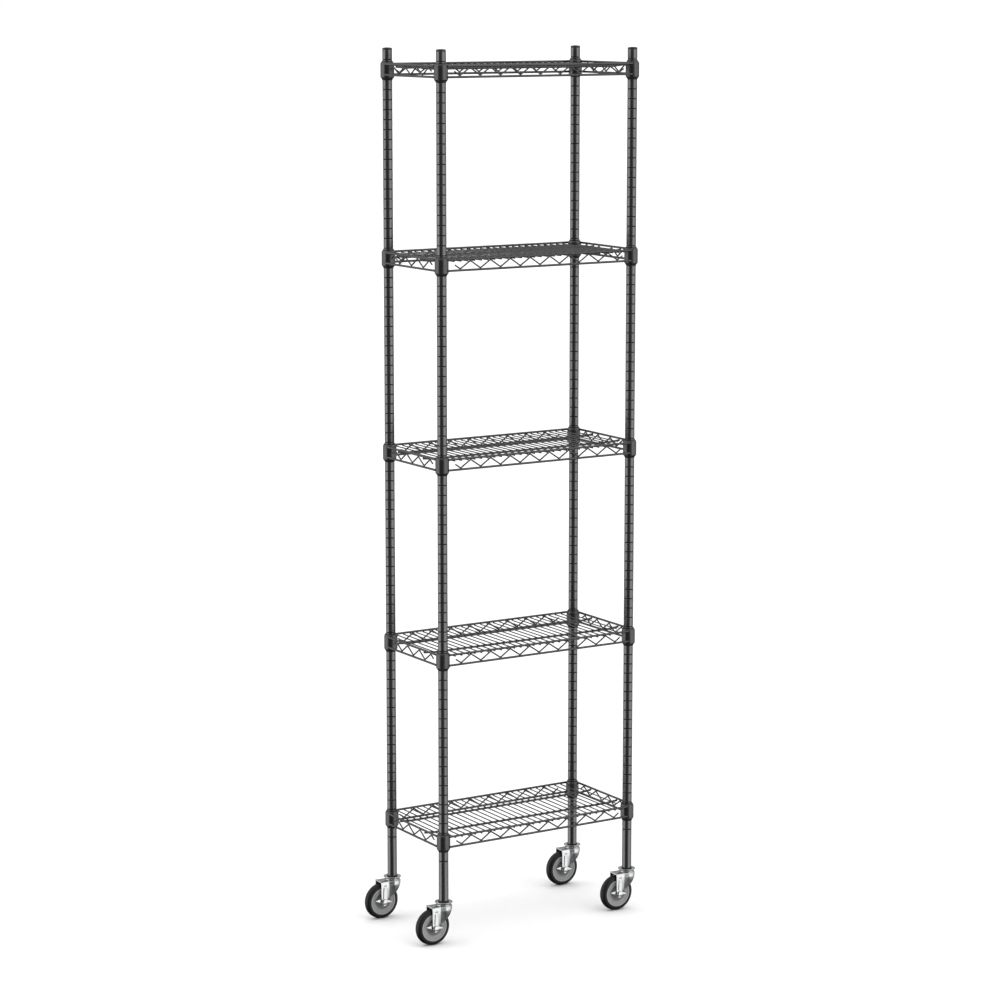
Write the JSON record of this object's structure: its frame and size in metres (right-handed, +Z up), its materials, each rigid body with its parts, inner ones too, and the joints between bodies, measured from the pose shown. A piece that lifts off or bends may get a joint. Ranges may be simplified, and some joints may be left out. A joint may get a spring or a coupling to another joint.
{
  "type": "wire shelving rack",
  "caption": "Tall narrow mobile wire shelving rack with grooved round posts, welded wire shelves held by split sleeves, and swivel casters.",
  "frame": {"origin": "on the floor, midway between the four posts", "axes": "+X along the long side, +Y from the front to the back, +Z up the posts"},
  "size_m": [0.6817, 0.3211, 2.31],
  "materials": {
    "post_black": "black epoxy coat, semi-gloss",
    "shelf_black": "black epoxy coat, semi-gloss",
    "cap_plastic": "black moulded plastic",
    "insert_plastic": "black moulded plastic",
    "sleeve_plastic": "black moulded plastic",
    "caster_zinc": "bright zinc plate",
    "bolt_zinc": "bright zinc plate",
    "ball_steel": "polished",
    "bushing_plastic": "natural grey plastic",
    "wheel_core": "grey moulded plastic",
    "tyre_rubber": "black rubber, fine texture"
  },
  "bodies": {
    "rack": {"post_front_left": "post_black", "post_front_right": "post_black", "post_back_left": "post_black", "post_back_right": "post_black", "post_cap_front_left": "cap_plastic", "post_cap_front_right": "cap_plastic", "post_cap_back_left": "cap_plastic", "post_cap_back_right": "cap_plastic", "post_inserts": "insert_plastic", "shelf_1": "shelf_black", "shelf_2": "shelf_black", "shelf_3": "shelf_black", "shelf_4": "shelf_black", "shelf_5": "shelf_black", "shelf_sleeves_1": "sleeve_plastic", "shelf_sleeves_2": "sleeve_plastic", "shelf_sleeves_3": "sleeve_plastic", "shelf_sleeves_4": "sleeve_plastic", "shelf_sleeves_5": "sleeve_plastic", "caster_stem_front_left": "caster_zinc", "caster_stem_front_right": "caster_zinc", "caster_stem_back_left": "caster_zinc", "caster_stem_back_right": "caster_zinc", "caster_raceway_front_left": "caster_zinc", "caster_raceway_front_right": "caster_zinc", "caster_raceway_back_left": "caster_zinc", "caster_raceway_back_right": "caster_zinc", "caster_balls_front_left": "ball_steel", "caster_balls_front_right": "ball_steel", "caster_balls_back_left": "ball_steel", "caster_balls_back_right": "ball_steel"},
    "fork_front_left": {"caster_fork_front_left": "caster_zinc", "caster_thread_guards_front_left": "caster_zinc", "caster_axle_bolt_front_left": "bolt_zinc", "caster_axle_nut_front_left": "bolt_zinc", "caster_axle_bushing_front_left": "bushing_plastic"},
    "wheel_front_left": {"caster_wheel_front_left": "wheel_core", "caster_tyre_front_left": "tyre_rubber"},
    "fork_front_right": {"caster_fork_front_right": "caster_zinc", "caster_thread_guards_front_right": "caster_zinc", "caster_axle_bolt_front_right": "bolt_zinc", "caster_axle_nut_front_right": "bolt_zinc", "caster_axle_bushing_front_right": "bushing_plastic"},
    "wheel_front_right": {"caster_wheel_front_right": "wheel_core", "caster_tyre_front_right": "tyre_rubber"},
    "fork_back_left": {"caster_fork_back_left": "caster_zinc", "caster_thread_guards_back_left": "caster_zinc", "caster_axle_bolt_back_left": "bolt_zinc", "caster_axle_nut_back_left": "bolt_zinc", "caster_axle_bushing_back_left": "bushing_plastic"},
    "wheel_back_left": {"caster_wheel_back_left": "wheel_core", "caster_tyre_back_left": "tyre_rubber"},
    "fork_back_right": {"caster_fork_back_right": "caster_zinc", "caster_thread_guards_back_right": "caster_zinc", "caster_axle_bolt_back_right": "bolt_zinc", "caster_axle_nut_back_right": "bolt_zinc", "caster_axle_bushing_back_right": "bushing_plastic"},
    "wheel_back_right": {"caster_wheel_back_right": "wheel_core", "caster_tyre_back_right": "tyre_rubber"}
  },
  "joints": [
    {"name": "swivel_front_left", "type": "hinge", "parent": "rack", "child": "fork_front_left", "pos_m": [-0.288, -0.135, 0.1], "axis": [0, 0, 1], "continuous": true},
    {"name": "wheel_spin_front_left", "type": "hinge", "parent": "fork_front_left", "child": "wheel_front_left", "pos_m": [-0.3225, -0.135, 0.048], "axis": [0, 1, 0], "continuous": true},
    {"name": "swivel_front_right", "type": "hinge", "parent": "rack", "child": "fork_front_right", "pos_m": [0.288, -0.135, 0.1], "axis": [0, 0, 1], "continuous": true},
    {"name": "wheel_spin_front_right", "type": "hinge", "parent": "fork_front_right", "child": "wheel_front_right", "pos_m": [0.2535, -0.135, 0.048], "axis": [0, 1, 0], "continuous": true},
    {"name": "swivel_back_left", "type": "hinge", "parent": "rack", "child": "fork_back_left", "pos_m": [-0.288, 0.135, 0.1], "axis": [0, 0, 1], "continuous": true},
    {"name": "wheel_spin_back_left", "type": "hinge", "parent": "fork_back_left", "child": "wheel_back_left", "pos_m": [-0.3225, 0.135, 0.048], "axis": [0, 1, 0], "continuous": true},
    {"name": "swivel_back_right", "type": "hinge", "parent": "rack", "child": "fork_back_right", "pos_m": [0.288, 0.135, 0.1], "axis": [0, 0, 1], "continuous": true},
    {"name": "wheel_spin_back_right", "type": "hinge", "parent": "fork_back_right", "child": "wheel_back_right", "pos_m": [0.2535, 0.135, 0.048], "axis": [0, 1, 0], "continuous": true}
  ]
}
